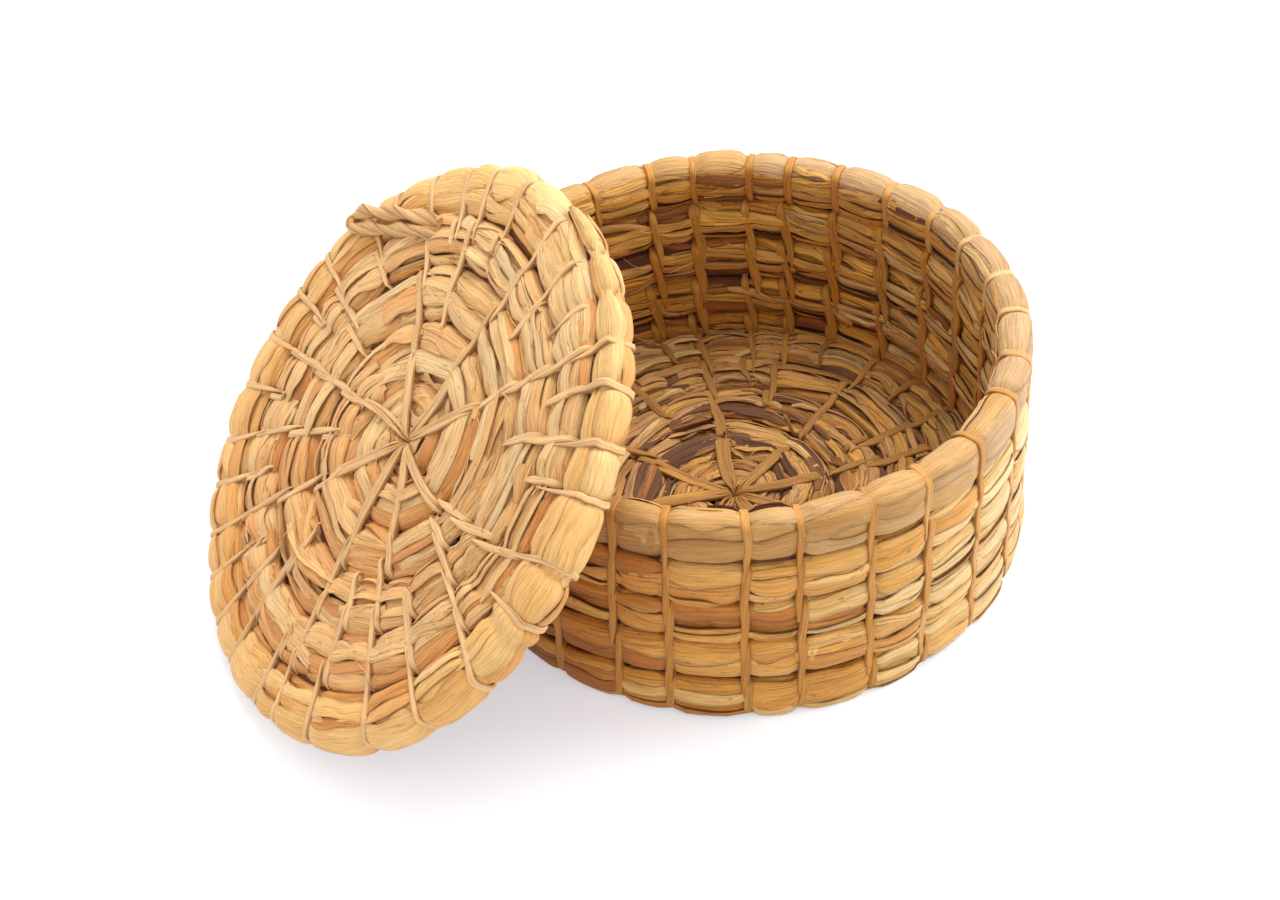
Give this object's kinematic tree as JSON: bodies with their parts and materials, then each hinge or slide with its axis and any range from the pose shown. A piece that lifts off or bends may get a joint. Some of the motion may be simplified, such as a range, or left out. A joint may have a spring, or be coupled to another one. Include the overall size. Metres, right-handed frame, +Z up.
{
  "type": "lidded coiled basket",
  "caption": "Round coiled sweetgrass basket with a flat coiled lid leaning on its rim; grass bundles sewn row to row with narrow strips, and a small pull loop on the lid.",
  "frame": {"origin": "centre of the basket's underside, on the surface that it stands on", "axes": "+Z up along the basket's axis; the lid leans on the rim towards -X"},
  "size_m": [0.2161, 0.1508, 0.1101],
  "materials": {
    "basket_grass": "bundled dried grass leaves, golden straw with a satin sheen",
    "floor_grass": "rough dried grass, grey brown and dull",
    "lid_grass": "short overlapping dried leaf pieces, golden tan, satin",
    "sewing_strip": "narrow split leaf strip, darker tan, lightly fibrous",
    "loop_cord": "twisted leaf cord, tan"
  },
  "bodies": {
    "basket": {"wall_coil": "basket_grass", "base_coil": "floor_grass", "basket_stitches_01": "sewing_strip", "basket_stitches_02": "sewing_strip", "basket_stitches_03": "sewing_strip", "basket_stitches_04": "sewing_strip", "basket_stitches_05": "sewing_strip", "basket_stitches_06": "sewing_strip", "basket_stitches_07": "sewing_strip", "basket_stitches_08": "sewing_strip", "basket_stitches_09": "sewing_strip", "basket_stitches_10": "sewing_strip", "basket_stitches_11": "sewing_strip", "basket_stitches_12": "sewing_strip", "basket_stitches_13": "sewing_strip", "basket_stitches_14": "sewing_strip", "basket_stitches_15": "sewing_strip", "basket_stitches_16": "sewing_strip", "basket_stitches_17": "sewing_strip", "basket_stitches_18": "sewing_strip", "basket_stitches_19": "sewing_strip", "basket_stitches_20": "sewing_strip", "basket_stitches_21": "sewing_strip", "basket_stitches_22": "sewing_strip", "basket_stitches_23": "sewing_strip", "basket_stitches_24": "sewing_strip", "basket_stitches_25": "sewing_strip", "basket_stitches_26": "sewing_strip", "basket_stitches_27": "sewing_strip", "basket_stitches_28": "sewing_strip"},
    "lid": {"lid_coil": "lid_grass", "lid_stitches_01": "sewing_strip", "lid_stitches_02": "sewing_strip", "lid_stitches_03": "sewing_strip", "lid_stitches_04": "sewing_strip", "lid_stitches_05": "sewing_strip", "lid_stitches_06": "sewing_strip", "lid_stitches_07": "sewing_strip", "lid_stitches_08": "sewing_strip", "lid_stitches_09": "sewing_strip", "lid_stitches_10": "sewing_strip", "lid_stitches_11": "sewing_strip", "lid_stitches_12": "sewing_strip", "lid_stitches_13": "sewing_strip", "lid_stitches_14": "sewing_strip", "lid_stitches_15": "sewing_strip", "lid_stitches_16": "sewing_strip", "lid_stitches_17": "sewing_strip", "lid_stitches_18": "sewing_strip", "lid_stitches_19": "sewing_strip", "lid_stitches_20": "sewing_strip", "lid_stitches_21": "sewing_strip", "lid_stitches_22": "sewing_strip", "lid_stitches_23": "sewing_strip", "lid_stitches_24": "sewing_strip", "lid_stitches_25": "sewing_strip", "lid_stitches_26": "sewing_strip", "lid_stitches_27": "sewing_strip", "lid_stitches_28": "sewing_strip", "lid_loop": "loop_cord"}
  },
  "joints": [
    {"name": "lid_lift", "type": "slide", "parent": "basket", "child": "lid", "axis": [-0.7181, 0, 0.6959], "range_m": [0, 0.15]}
  ]
}
